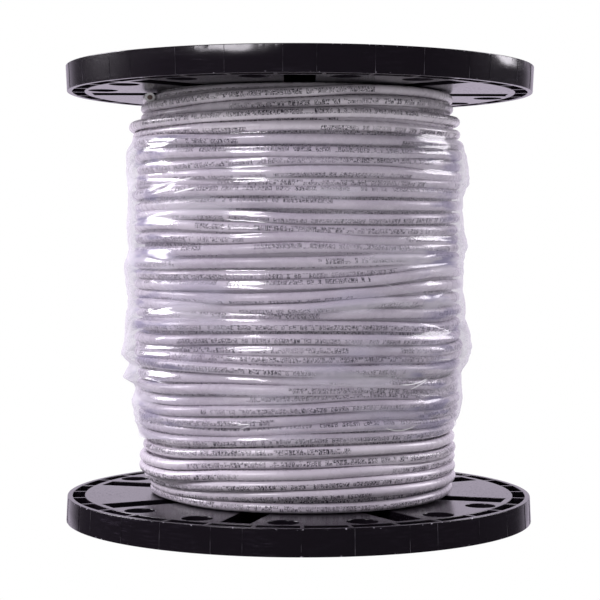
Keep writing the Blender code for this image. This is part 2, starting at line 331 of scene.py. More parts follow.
def blackPlastic():
    # Black high-impact polystyrene, injection moulded: semi-gloss, with rub marks and nicks, and painted
    # glints on its seams and lips
    material, tree = newMaterial("black moulded polystyrene")
    place = addNode(tree, "Attribute", {"attribute_name": "ownPlace"}).outputs["Vector"]
    split = addNode(tree, "SeparateXYZ", inputs={0: place}).outputs
    angle = addNode(tree, "Math", {"operation": "ARCTAN2"}, {0: split["Y"], 1: split["X"]})
    outward = addNode(tree, "CombineXYZ", inputs={"X": split["X"], "Y": split["Y"]})
    radius = addNode(tree, "VectorMath", {"operation": "LENGTH"}, {0: outward}).outputs["Value"]

    onRim = addNode(tree, "MapRange", {}, {
        "Value": radius, "From Min": flange["rimFace"][0], "From Max": flange["rimFace"][1]})

    # Rub marks run round the reel: noise stretched about ten times along the rim
    alongRim = addNode(tree, "Math", multiply, {0: angle, 1: 0.015})
    roundPlace = addNode(tree, "CombineXYZ", inputs={"X": alongRim, "Y": radius, "Z": split["Z"]})
    rubs = addNode(tree, "TexNoise", {},
                   {"Vector": roundPlace, "Scale": 900.0, "Detail": 6.0, "Roughness": 0.62})
    rubMask = addNode(tree, "MapRange", {}, {"Value": rubs, "From Min": 0.52, "From Max": 0.78})
    noises = []
    for cells, detail in ((28.0, 3.0), (520.0, 1.0), (130.0, 1.0), (260.0, 3.0), (30.0, 1.0), (60.0, 1.0)):
        noises.append(addNode(tree, "TexNoise", {}, {"Vector": place, "Scale": cells, "Detail": detail}))
    clouds, grit, rub, grain, waves, dents = noises
    cloudMask = addNode(tree, "MapRange", {}, {"Value": clouds, "From Min": 0.4, "From Max": 0.7})
    dull = addNode(tree, "Math", multiply, {0: rubMask, 1: cloudMask})

    # Pale spots 0.5 mm across sit on the lips at the rim's two edges: nicks, and painted glints
    nickAndGlint = addNode(tree, "MapRange", {}, {"Value": grit, "From Min": 0.69, "From Max": 0.74})
    midHeight = addNode(tree, "Math", subtract, {0: split["Z"], 1: flange["height"] / 2})
    fromMid = addNode(tree, "Math", absolute, {0: midHeight})
    atLip = addNode(tree, "MapRange", {}, {
        "Value": fromMid, "From Min": flange["lip"][0], "From Max": flange["lip"][1]})
    for mask in (onRim, atLip):
        nickAndGlint = addNode(tree, "Math", multiply, {0: nickAndGlint, 1: mask})

    worn = addNode(tree, "Mix", colourMix, {
        "Factor": dull, "A": linear(flange["black"]), "B": linear(flange["rubbed"])}).outputs["Result"]
    # Seams are pale where they stand out past the rim: rubbed along their length, with a painted glint where
    # they end on the lips
    rimRadius = addNode(tree, "Math", multiplyAdd, {
        0: split["Z"], 1: -flange["draft"] / flange["height"], 2: flange["radius"]})
    past = addNode(tree, "Math", subtract, {0: radius, 1: rimRadius})
    seam = addNode(tree, "MapRange", {}, {
        "Value": past, "From Min": 0.00005, "From Max": flange["seamProud"]})
    rubbed = addNode(tree, "MapRange", {}, {
        "Value": rub, "From Min": 0.42, "From Max": 0.7, "To Min": 0.02, "To Max": 0.4})
    # Painted glints at the seams' ends on the lips
    seamEndGlint = addNode(tree, "Math", multiply, {0: atLip, 1: 0.8})
    rubbed = addNode(tree, "Math", maximum, {0: rubbed, 1: seamEndGlint})
    seam = addNode(tree, "Math", multiply, {0: seam, 1: rubbed})
    # Rub marks, nicks and painted glints all take the pale colour
    paleAndGlint = addNode(tree, "Math", maximum, {0: seam, 1: nickAndGlint})
    colour = addNode(tree, "Mix", colourMix,
                     {"Factor": paleAndGlint, "A": worn, "B": linear(flange["scrapeAndGlint"])}).outputs["Result"]
    roughness = addNode(tree, "MapRange", {}, {"Value": dull, "To Min": 0.2, "To Max": 0.4})
    relief = addNode(tree, "Math", multiplyAdd, {0: waves, 1: 6.0, 2: grain})
    bump = addNode(tree, "Bump", {}, {"Height": relief, "Strength": 0.2, "Distance": 0.0001})
    # The rim's crown, which mirrors the high lights in its outer half
    fromCrown = addNode(tree, "MapRange", {}, {
        "Value": split["Z"], "From Max": flange["crownLength"], "To Min": 1.0, "To Max": 0.0})
    curve = addNode(tree, "Math", power, {0: fromCrown, 1: 2.0})
    first = -flange["crownWaves"] * math.radians(flange["crownAngle"])
    wave = addNode(tree, "Math", multiplyAdd, {0: angle, 1: flange["crownWaves"], 2: first})
    stretch = addNode(tree, "Math", {"operation": "COSINE"}, {0: wave})
    depth = addNode(tree, "Math", {"operation": "MULTIPLY", "use_clamp": True}, {0: stretch, 1: 1.4})
    # Shallow dents, about 17 mm apart, vary what the crown mirrors
    dented = addNode(tree, "MapRange", {}, {
        "Value": dents, "From Min": 0.38, "From Max": 0.62, "To Min": 0.85, "To Max": 1.15})
    depth = addNode(tree, "Math", multiply, {0: depth, 1: dented})
    crown = addNode(tree, "Math", multiply, {0: curve, 1: depth})
    crowned = addNode(tree, "Bump", {"invert": True}, {
        "Height": crown, "Strength": 1.0, "Distance": flange["crownDepth"], "Normal": bump})
    upright = addNode(tree, "Mix", {"data_type": "VECTOR"}, {"Factor": onRim, "A": bump, "B": crowned})
    shader = addNode(tree, "BsdfPrincipled", {}, {
        "Base Color": colour, "Roughness": roughness, "Normal": upright.outputs["Result"],
        "IOR": flange["ior"],
    })
    addNode(tree, "OutputMaterial", {}, {"Surface": shader})
    return material


def addSeams(mesh):
    # Each seam is two narrow faces that meet in a ridge down the rim
    f = flange
    half = f["seamWidth"] / 2 / f["radius"]
    shape = bmesh.new()
    shape.from_mesh(mesh)
    for i in range(2 * f["segments"]):
        spread = f["middleSeams"] if i % 2 else f["channelSeams"]
        for side in (-1, 1):
            middle = math.pi * i / f["segments"] + side * math.radians(spread)
            rib = []
            for z in (f["roundedEdge"], f["height"] - f["roundedEdge"]):
                rim = f["radius"] - f["draft"] * z / f["height"]
                for turn, proud in ((-half, -f["seamFoot"]), (0, f["seamProud"]), (half, -f["seamFoot"])):
                    rib.append(shape.verts.new((*polar(rim + proud, middle + turn), z)))
            shape.faces.new((rib[0], rib[1], rib[4], rib[3]))
            shape.faces.new((rib[1], rib[2], rib[5], rib[4]))
    shape.to_mesh(mesh)
    shape.free()


plastic = blackPlastic()
flangeShape = flangeMesh()
addSeams(flangeShape)
flangeShape.materials.clear()
flangeShape.materials.append(plastic)
# The plastic's marks follow each flange's own place, kept from before it is turned
own = flangeShape.attributes.new("ownPlace", "FLOAT_VECTOR", "POINT")
for vertex, value in zip(flangeShape.vertices, own.data):
    value.vector = vertex.co
lowerPlace = Matrix.Rotation(math.radians(flange["lowerTurn"]), 4, "Z")
upperPlace = (Matrix.Translation((0, 0, flange["reelHeight"]))
              @ Matrix.Rotation(math.radians(flange["upperTurn"]), 4, "Z")
              @ Matrix.Rotation(math.pi, 4, "X"))
for end, where in (("lower", lowerPlace), ("upper", upperPlace)):
    obj = bpy.data.objects.new("ribbed_flange_" + end, flangeShape.copy())
    obj.data.transform(where)
    scene.collection.objects.link(obj)
    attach(obj, "root")
    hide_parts("flange_" + end)
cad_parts["barrel"].data.materials.clear()
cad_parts["barrel"].data.materials.append(plastic)
print("flanges made:", len(flangeShape.polygons), "faces each")


# The wire, wound in an outer layer of level turns over one more layer and a plain core
wire = {
    "diameter": 0.0063,
    "lowest": 0.01985,         # centre height of the turn that lies on the lower flange
    "highest": 0.2747,
    "nest": 0.0054,            # how much nearer the axis the layer below lies
    "points": 96,              # round one turn of the outer layer
    "pointsBelow": 48,
    "sides": 12,
    "wander": 0.00055,         # how far turns move in and out
    "aside": 0.0005,           # the winding and its film sit this much to the right of the axis
    "cutAngle": -159,          # the wire ends at this angle
    "cutSlant": 0.0022,        # side cutters leave its face slanting outwards by this
    "springOut": 0.0015,       # the cut end springs outwards by this
    "startDive": 0.008,        # the start of the layer below dives into the core by this
    "stepFrom": 0.28,          # the layer below steps down over these shares of a turn from the front
    "stepOver": 0.22,
    "endRings": ((0.93, 0), (0.5, 1), (0.48, 2)),   # the cut face: share of its radius, and material
    "twistEveryMm": 500,       # the print turns slowly round the wire, by up to this share of a turn
    "twistMost": 0.17,
    "seed": 11,
    "coreHeights": (0.0168, 0.2778),
    "coreBore": 0.0639,
    "coreRows": 60,
    "coreColumns": 96,
    "insulation": "#f0edf0",
    "copper": "#8a7470",
}
# Height in mm of the lower edge of each turn, top first, at five angles round the front
gapAngles = (-147.3, -113.7, -89.7, -65.5, -31.3)
gapHeights = (
    (271.3, 273.6, 275.1, 276.9, 278.0),
    (263.5, 266.5, 267.9, 270.9, 272.5),
    (260.1, 260.5, 261.9, 263.4, 263.5),
    (252.2, 254.1, 255.1, 255.6, 254.2),
    (248.5, 246.5, 247.3, 247.2, 246.4),
    (241.7, 239.7, 238.8, 238.9, 240.6),
    (231.0, 231.8, 232.4, 231.9, 232.8),
    (224.7, 225.8, 228.0, 228.5, 225.8),
    (221.0, 218.8, 219.9, 220.1, 220.5),
    (217.2, 216.4, 214.6, 215.1, 215.5),
    (207.2, 208.1, 209.3, 208.5, 208.2),
    (201.4, 201.2, 199.4, 199.0, 200.2),
    (195.3, 194.4, 191.6, 191.6, 192.4),
    (189.4, 186.1, 187.1, 185.2, 184.9),
    (179.1, 180.2, 181.9, 180.3, 180.0),
    (171.4, 173.0, 174.3, 175.2, 174.3),
    (163.4, 164.2, 164.3, 165.5, 168.6),
    (157.9, 158.3, 159.6, 161.7, 166.1),
    (150.7, 151.5, 152.0, 154.2, 159.2),
    (145.8, 142.5, 144.5, 147.7, 149.8),
    (138.9, 138.8, 138.2, 141.6, 141.7),
    (134.5, 135.2, 135.5, 134.5, 132.7),
    (123.2, 126.1, 126.5, 126.2, 123.1),
    (116.8, 119.0, 119.9, 118.6, 117.3),
    (112.6, 112.9, 112.5, 112.6, 110.2),
    (108.8, 108.3, 108.0, 108.0, 106.8),
    (100.6, 100.3, 98.6, 98.9, 97.0),
    (93.7, 96.4, 95.6, 93.2, 87.8),
    (85.3, 87.6, 88.4, 90.1, 86.0),
    (79.5, 82.3, 84.4, 86.0, 83.7),
    (72.0, 75.5, 76.8, 78.4, 76.8),
    (66.9, 67.4, 70.8, 73.4, 70.8),
    (61.6, 63.0, 65.8, 66.2, 65.2),
    (53.5, 56.7, 59.1, 59.4, 58.2),
    (44.9, 49.0, 50.1, 51.0, 50.3),
    (38.6, 42.7, 44.1, 44.9, 43.6),
    (31.4, 36.0, 37.6, 38.8, 38.4),
    (26.7, 29.8, 31.6, 32.7, 32.0),
    (21.2, 23.1, 24.8, 25.1, 25.7),
    (16.8, 14.9, 15.0, 14.9, 16.2),
)
# Crest radius in mm at the left and right of the photo, against height in mm: the winding is uneven
leftCrest = ((17, 97), (22, 98.5), (27, 100.4), (33, 106.8), (40, 106.6), (47, 100.5), (53, 105), (60, 105.5),
             (75, 106.5), (95, 107.6), (125, 108.8), (160, 108.4), (200, 108.6), (235, 108.4), (249, 109.4),
             (256, 111), (262.5, 104.6), (268, 106.1), (275, 102.3))
rightCrest = ((17, 101.6), (30, 102.4), (60, 102.2), (80, 104.8), (120, 106.2), (160, 105), (200, 104),
              (230, 106.4), (249, 104.6), (256, 105.4), (262.5, 103.4), (268, 100.8), (275, 100.1))
turnWander = ripples(3, 26, (0, 5), (0.009, 0.05))


def crestRadius(angle, height):
    # Radius of the outer layer's crest: left and right profiles blended round the reel
    heightMm = np.asarray(height) / mm
    left = np.interp(heightMm, *zip(*leftCrest)) * mm
    right = np.interp(heightMm, *zip(*rightCrest)) * mm
    middle, swing = (left + right) / 2, (right - left) / 2
    return middle + (swing + wire["aside"]) * np.cos(angle) + wire["wander"] * turnWander(angle, height)


def eased(x, knots, values):
    # A smooth curve through the knots that never overshoots them
    step = np.diff(knots)
    slope = np.diff(values) / step
    before, after = slope[:-1], slope[1:]
    same = before * after > 0
    inner = np.where(same, 2 * before * after / np.where(same, before + after, 1), 0)
    tangent = np.concatenate([[slope[0]], inner, [slope[-1]]])
    i = np.clip(np.searchsorted(knots, x) - 1, 0, len(step) - 1)
    t = np.clip((x - knots[i]) / step[i], 0, 1)
    h = step[i]
    return ((2 * t ** 3 - 3 * t ** 2 + 1) * values[i] + (t ** 3 - 2 * t ** 2 + t) * h * tangent[i]
            + (3 * t ** 2 - 2 * t ** 3) * values[i + 1] + (t ** 3 - t ** 2) * h * tangent[i + 1])


def turnKnots():
    # Centre height and recess of each turn, lowest first, at knots along the winding.
    # Turn k passes the front at x = k.
    w = wire
    d = w["diameter"]
    gaps = np.array(gapHeights)[::-1] * mm
    turns = len(gaps)
    lower, upper = gaps[:-1], gaps[1:]
    centres = np.clip((lower + upper) / 2, w["lowest"], w["highest"])
    shown = np.clip(upper - lower, 0.003, d)
    recess = np.sqrt(np.maximum(0, d ** 2 - ((shown + d) / 2) ** 2))
    # The last turn comes round under the upper flange and ends at the left, before the front
    centres = np.vstack([centres, [w["highest"] - 0.0012] + [w["highest"]] * 4])
    recess = np.vstack([recess, np.full(len(gapAngles), 0.0005)])
    share = (np.array(gapAngles) + 90) / 360
    knots, heights, depths = [], [], []
    for k in range(turns):
        knots += [k - 0.5, k - 0.26] + list(k + share) + [k + 0.26]
        here = centres[k].mean()
        below = centres[k - 1].mean() if k else w["lowest"]
        above = centres[k + 1].mean() if k < turns - 1 else here
        back = (here + below) / 2
        front = centres[k]
        after = (here + above) / 2
        heights += [back, back * 0.35 + front[0] * 0.65] + list(front) + [after * 0.35 + front[-1] * 0.65]
        depths += [0, 0] + list(recess[k]) + [0]
    return np.array(knots), np.array(heights), np.array(depths)


def windingLine():
    # Centreline of the wire: down the layer below, out at the lower flange, and up the outer layer to its end
    w = wire
    knots, heights, depths = turnKnots()
    turns = len(gapHeights)
    lastX = turns - 1 + (90 + w["cutAngle"]) / 360
    below = np.arange(-turns - 0.5, -0.5 + 1e-9, 1 / w["pointsBelow"])
    above = np.arange(-0.5 + 1 / w["points"], lastX, 1 / w["points"])
    x = np.concatenate([below, above])
    angle = np.radians(-90) + 2 * math.pi * x
    upward = eased(x, knots, heights)
    recess = eased(x, knots, depths)
    # The layer below lies in the grooves between outer turns, and steps down at the back
    turn = np.round(x)
    part = x - turn
    groove = np.clip(-turn - 1, 0, turns - 1)
    nextGroove = np.minimum(groove + 1, turns - 1)
    between = (eased(groove + part, knots, heights) + eased(nextGroove + part, knots, heights)) / 2
    join = np.clip(groove + np.where(part > 0, 0, 1), 0, turns - 1)
    stepDown = smooth((np.abs(part) - w["stepFrom"]) / w["stepOver"])
    downward = between + (eased(join, knots, heights) - between) * stepDown
    share = smooth((x + 0.75) / 0.5)
    z = downward * (1 - share) + upward * share
    radius = crestRadius(angle, z) - w["diameter"] / 2 - w["nest"] * (1 - share) - recess * share
    radius -= w["startDive"] * smooth((-(turns + 0.2) - x) / 0.3)
    radius += w["springOut"] * smooth((x - (lastX - 0.06)) / 0.06)
    return np.stack([radius * np.cos(angle), radius * np.sin(angle), z], axis=1)


def windingMesh():
    w = wire
    line = windingLine()
    ahead = np.gradient(line, axis=0)
    ahead /= np.linalg.norm(ahead, axis=1)[:, None]
    out = line * (1, 1, 0)
    out /= np.linalg.norm(out, axis=1)[:, None]
    out -= (out * ahead).sum(1)[:, None] * ahead
    out /= np.linalg.norm(out, axis=1)[:, None]
    upward = np.cross(ahead, out)
    upward *= np.sign(upward[:, 2:3])
    sides, half = w["sides"], w["diameter"] / 2
    theta = 2 * math.pi * np.arange(sides) / sides
    ring = np.cos(theta)[None, :, None] * out[:, None] + np.sin(theta)[None, :, None] * upward[:, None]
    points = line[:, None] + half * ring
    slant = np.linspace(0, 1, 4)[:, None] * np.array([-w["cutSlant"]]) * np.cos(theta - 0.3)
    points[-4:] += slant[:, :, None] * ahead[-4:, None]
    count = len(line)
    grid = np.arange(count * sides).reshape(count, sides)
    nextSide = np.roll(grid, -1, axis=1)
    quads = np.stack([grid[:-1], grid[1:], nextSide[1:], nextSide[:-1]], axis=-1).reshape(-1, 4)
    verts = points.reshape(-1, 3).tolist()
    faces = quads.tolist()
    kinds = [0] * len(faces)
    # The cut end: jacket edge, white insulation, then copper
    edge = points[-1]
    centre = edge.mean(0)
    loops = [grid[-1].tolist()]
    for share, kind in w["endRings"]:
        start = len(verts)
        verts += (centre + (edge - centre) * share).tolist()
        loop = list(range(start, start + sides))
        previous = loops[-1]
        for i in range(sides):
            j = (i + 1) % sides
            faces.append((previous[i], loop[i], loop[j], previous[j]))
        kinds += [kind] * sides
        loops.append(loop)
    faces.append(loops[-1])
    kinds.append(2)
    faces.append(grid[0].tolist()[::-1])
    kinds.append(0)
    mesh = bpy.data.meshes.new("wound_wire")
    mesh.from_pydata(verts, [], faces)
    # UV in mm: along the wire, and round it as a share that the print's slow twist adds to
    along = np.concatenate([[0], np.cumsum(np.linalg.norm(np.diff(line, axis=0), axis=1))]) / mm
    pick = np.random.default_rng(w["seed"])
    knots = np.arange(0, along[-1] + w["twistEveryMm"], w["twistEveryMm"])
    wander = np.clip(pick.normal(0.0, 0.1, len(knots)), -w["twistMost"], w["twistMost"])
    twist = 0.25 + np.interp(along, knots, wander)
    layer = mesh.uv_layers.new(name="wire")
    uv = np.zeros((len(mesh.loops), 2), np.float32)
    row = np.repeat(np.arange(count - 1), sides)
    column = np.tile(np.arange(sides), count - 1)
    corner = uv[:len(quads) * 4].reshape(-1, 4, 2)
    for k, (dr, dc) in enumerate(((0, 0), (1, 0), (1, 1), (0, 1))):
        corner[:, k, 0] = along[row + dr]
        corner[:, k, 1] = (column + dc) / sides + twist[row + dr] + 40
    layer.data.foreach_set("uv", uv.ravel())
    mesh.polygons.foreach_set("material_index", kinds)
    shape = bmesh.new()
    shape.from_mesh(mesh)
    bmesh.ops.recalc_face_normals(shape, faces=shape.faces)
    shape.to_mesh(mesh)
    shape.free()
    mesh.shade_smooth()
    mesh.set_sharp_from_angle(angle=math.radians(50))
    return mesh


def coreMesh():
    # The deeper layers, as one ring just under the second layer's grooves
    w = wire
    rows = np.linspace(*w["coreHeights"], w["coreRows"])
    angles = 2 * math.pi * np.arange(w["coreColumns"]) / w["coreColumns"]
    radius = crestRadius(angles[:, None], rows[None, :]) - w["nest"] - w["diameter"] * 0.55
    outlines = []
    for angle, radii in zip(angles, radius):
        outline = [(*polar(r, angle), z) for r, z in zip(radii[::-1], rows[::-1])]
        outlines.append(outline + [(*polar(w["coreBore"], angle), z) for z in (rows[0], rows[-1])])
    mesh = ringMesh("wire_core", outlines)
    mesh.shade_smooth()
    return mesh


def nylonJacket():
    # Nylon over PVC, extruded: smooth and glossy, pale grey, with two rows of grey ink marks
    jacket = {
        "colour": "#cdc6cf",
        "shade": "#bdb5c0",
        "ink": "#241f2b",
        "dotWidthMm": 0.367,      # six columns of dots make a mark, like one printed character
        "dotHeightMm": 0.72,
        "markDots": 6.0,
        "rowHeightMm": 3.6,
        "ior": 1.53,              # nylon
    }
    material, tree = newMaterial("pale grey nylon jacket")
    uv = addNode(tree, "UVMap", {"uv_map": "wire"})
    split = addNode(tree, "SeparateXYZ", inputs={0: uv}).outputs
    along = split["X"]
    halfRound = math.pi * wire["diameter"] / mm / 2
    twice = addNode(tree, "Math", multiply, {0: split["Y"], 1: 2.0})
    rowNumber = addNode(tree, "Math", {"operation": "FLOOR"}, {0: twice})
    inRow = addNode(tree, "Math", {"operation": "FRACT"}, {0: twice})
    across = addNode(tree, "Math", multiplyAdd, {0: inRow, 1: halfRound, 2: -halfRound / 2})
    size = addNode(tree, "Math", absolute, {0: across})
    inBand = addNode(tree, "Math", {"operation": "LESS_THAN"}, {0: size, 1: jacket["rowHeightMm"] / 2})

    dotX = addNode(tree, "Math", divide, {0: along, 1: jacket["dotWidthMm"]})
    dotColumn = addNode(tree, "Math", {"operation": "FLOOR"}, {0: dotX})
    dotY = addNode(tree, "Math", divide, {0: across, 1: jacket["dotHeightMm"]})
    dotRow = addNode(tree, "Math", {"operation": "FLOOR"}, {0: dotY})
    dotPlace = addNode(tree, "CombineXYZ", inputs={"X": dotColumn, "Y": dotRow, "Z": rowNumber})
    dotChance = addNode(tree, "TexWhiteNoise", {"noise_dimensions": "3D"},
                        {"Vector": dotPlace}).outputs["Value"]
    # Every other column of dots is mostly inked, so that a mark has upright strokes as print does
    odd = addNode(tree, "Math", {"operation": "PINGPONG"}, {0: dotColumn, 1: 1.0})
    threshold = addNode(tree, "Math", multiplyAdd, {0: odd, 1: 0.4, 2: 0.25})
    dot = addNode(tree, "Math", {"operation": "GREATER_THAN"}, {0: dotChance, 1: threshold})
    inMark = addNode(tree, "Math", {"operation": "MODULO"}, {0: dotColumn, 1: jacket["markDots"]})
    notGap = addNode(tree, "Math", {"operation": "LESS_THAN"}, {0: inMark, 1: 4.5})
    markX = addNode(tree, "Math", divide, {0: dotColumn, 1: jacket["markDots"]})
    markNumber = addNode(tree, "Math", {"operation": "FLOOR"}, {0: markX})
    markPlace = addNode(tree, "CombineXYZ", inputs={"X": markNumber, "Y": rowNumber})
    markChance = addNode(tree, "TexWhiteNoise", {"noise_dimensions": "2D"},
                         {"Vector": markPlace}).outputs["Value"]
    notSpace = addNode(tree, "Math", {"operation": "GREATER_THAN"}, {0: markChance, 1: 0.15})
    # The ink wears off in places, and stretches some 60 mm long between legends are bare
    fade = addNode(tree, "TexNoise", {"noise_dimensions": "1D"}, {"W": along, "Scale": 0.02, "Detail": 2.0})
    worn = addNode(tree, "MapRange", {}, {
        "Value": fade, "From Min": 0.3, "From Max": 0.55, "To Min": 0.5, "To Max": 0.95})
    legend = addNode(tree, "TexNoise", {"noise_dimensions": "1D"},
                     {"W": along, "Scale": 0.006, "Detail": 0.0})
    present = addNode(tree, "Math", {"operation": "GREATER_THAN"}, {0: legend, 1: 0.36})
    strength = addNode(tree, "Math", multiply, {0: worn, 1: present})
    ink = dot
    for mask in (notGap, notSpace, inBand, strength):
        ink = addNode(tree, "Math", multiply, {0: ink, 1: mask})

    place = addNode(tree, "TexCoord").outputs["Object"]
    patches = addNode(tree, "TexNoise", {}, {"Vector": place, "Scale": 22.0, "Detail": 3.0})
    patchMask = addNode(tree, "MapRange", {}, {"Value": patches, "From Min": 0.42, "From Max": 0.66})
    printed = linear(jacket["colour"])
    for mask, colour in ((patchMask, jacket["shade"]), (ink, jacket["ink"])):
        printed = addNode(tree, "Mix", colourMix,
                          {"Factor": mask, "A": printed, "B": linear(colour)}).outputs["Result"]
    handled = addNode(tree, "TexNoise", {}, {"Vector": place, "Scale": 180.0, "Detail": 4.0})
    roughness = addNode(tree, "MapRange", {}, {
        "Value": handled, "From Min": 0.3, "From Max": 0.7, "To Min": 0.2, "To Max": 0.36})
    bump = addNode(tree, "Bump", {}, {"Height": handled, "Strength": 0.05, "Distance": 0.0002})
    shader = addNode(tree, "BsdfPrincipled", {}, {
        "Base Color": printed, "Roughness": roughness, "Normal": bump, "IOR": jacket["ior"],
        "Coat Weight": 0.25, "Coat Roughness": 0.12,
    })
    addNode(tree, "OutputMaterial", {}, {"Surface": shader})
    return material


def plainMaterial(name, colour, roughness, metallic, scale, relief):
    # A cut face: flat colour broken by saw and cutter marks
    material, tree = newMaterial(name)
    place = addNode(tree, "TexCoord").outputs["Object"]
    noise = addNode(tree, "TexNoise", {}, {"Vector": place, "Scale": scale, "Detail": 3.0})
    tone = addNode(tree, "MapRange", {}, {"Value": noise, "To Min": 0.55, "To Max": 1.2})
    mixed = addNode(tree, "Mix", {"data_type": "RGBA", "blend_type": "MULTIPLY"},
                    {"Factor": 1.0, "A": linear(colour), "B": tone}).outputs["Result"]
    bump = addNode(tree, "Bump", {}, {"Height": noise, "Strength": 0.5, "Distance": relief})
    shader = addNode(tree, "BsdfPrincipled", {}, {
        "Base Color": mixed, "Roughness": roughness, "Metallic": metallic, "Normal": bump,
    })
    addNode(tree, "OutputMaterial", {}, {"Surface": shader})
    return material


jacketMaterial = nylonJacket()
insulation = plainMaterial("white PVC insulation", wire["insulation"], 0.5, 0.0, 900.0, 0.0002)
copper = plainMaterial("cut copper strands", wire["copper"], 0.5, 0.4, 1500.0, 0.0002)
woundWire = bpy.data.objects.new("wound_wire", windingMesh())
for material in (jacketMaterial, insulation, copper):
    woundWire.data.materials.append(material)
core = bpy.data.objects.new("wire_core", coreMesh())
core.data.materials.append(jacketMaterial)
for obj in (woundWire, core):
    scene.collection.objects.link(obj)
    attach(obj, "root")
    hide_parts("wire_winding")
print("wire wound:", len(woundWire.data.polygons), "faces")


# The loose sleeve of clear film
film = {
    "bottom": 0.060,
    "top": 0.247,
    "slope": 0.002,            # its lower edge rises to the right
    "lowWander": 0.0014,       # its free edges wander up and down by this much
    "highWander": 0.0008,
    "around": 240,
    "rows": 320,
    "gap": 0.00035,
    "cling": 0.00034,          # half of how far it dips between turns
    "loose": 0.0011,           # how far it stands off at front and back
    "tight": 0.0006,           # how gently it comes to lie on the turns
    "waves": 0.0008,
    "ripples": 0.0001,
    "folds": 0.0004,
    "curl": 0.0009,            # the lower edge curls outwards here and there
    "sideFade": 2.5,           # how fast the stand-off at the sides fades towards front and back
    "heldLow": 0.05,           # shares of its length over which the edges are held close
    "heldHigh": 0.04,
    "flatWidth": 0.70,
    "flatLength": 0.187,
    "clear": "#fbfafc",
    "milky": "#d6d2dc",
    "doubled": "#b5b0c4",
    "edgeOn": "#d3cfd9",
    "streakShade": "#87839b",
    "roughness": 0.15,
}
# Painted highlights along sharp folds, as white lines: start and end as (degrees, mm up), sag in mm, width in
# mm, how white
creaseGlints = (
    ((-142, 215.6), (-125, 220.6), 0.0, 0.9, 0.7),
    ((-134.5, 210.8), (-123.5, 214.4), 0.0, 0.9, 0.9),
    ((-140, 204), (-121, 207.5), 0.4, 0.5, 0.45),
    ((-55.5, 94.6), (-40.5, 97.8), -1.6, 0.6, 0.9),
    ((-51.5, 90.6), (-41, 96.9), -0.3, 0.6, 0.85),
    ((-61, 69.2), (-45.5, 69.8), -3.4, 0.6, 0.85),
    ((-62.5, 157), (-48.5, 148.6), 0.3, 0.35, 0.5),
    ((-110.6, 70.9), (-105.8, 71.7), 0.0, 0.6, 0.9),
    ((-110.2, 67.6), (-105.6, 71.2), 0.0, 0.5, 0.8),
    ((-40, 108.2), (-30, 107.8), 0.5, 0.8, 0.6),
    ((-89, 190.8), (-85, 186.7), 0.0, 0.4, 0.5),
    ((35, 150), (52, 143), -1.0, 0.5, 0.7),
    ((100, 196), (122, 190), 1.2, 0.5, 0.7),
    ((75, 84), (90, 88), -0.8, 0.6, 0.8),
)
# Radius in mm at the left and right of the photo, against height in mm
leftFilm = ((54, 107.6), (64, 108), (78, 110.3), (85, 107.4), (89, 109), (93, 116.2), (102, 111.6),
            (108, 117.2), (116, 115.5), (131, 114.3), (141, 113), (150, 113.6), (165, 115.6), (176, 112.4),
            (193, 113.7), (211, 112.4), (226, 113.8), (240, 113.8), (251, 110.6))
rightFilm = ((57, 103), (63, 103.4), (69, 104.6), (78, 106.7), (84, 106.6), (96, 105.6), (104, 110.4),
             (113, 112.9), (124, 111.5), (132, 108.2), (142, 108.1), (151, 106.8), (169, 107), (179, 109.8),
             (190, 107.4), (202, 106), (211, 106.4), (220, 110.8), (230, 110), (241, 107.6), (250, 106))
filmWaves = ripples(21, 30, (0, 2), (0.014, 0.04))
filmRipples = ripples(25, 30, (0, 4), (0.006, 0.012))
filmFolds = ripples(22, 24, (2, 7), (0.02, 0.05))
edgeWaves = ripples(23, 12, (1, 7), (0.3, 0.9))
clingWaves = ripples(27, 16, (0, 3), (0.03, 0.12))


def turnCount(angle, z):
    # Counts turns up the winding at each point of a grid: whole numbers lie in the gaps.
    # Turns rise by one at the back.
    low = np.array(gapHeights)[::-1] * mm
    nextLeft = np.append(low[1:, 0], low[-1, 0] + wire["diameter"])
    table = np.column_stack([low, nextLeft])
    columns = gapAngles + (gapAngles[0] + 360,)
    wrapped = (np.degrees(angle) - gapAngles[0]) % 360 + gapAngles[0]
    count = np.empty(z.shape)
    for i, place in enumerate(wrapped):
        gaps = [np.interp(place, columns, row) for row in table]
        count[i] = np.interp(z[i], gaps, np.arange(len(gaps)))
    return count


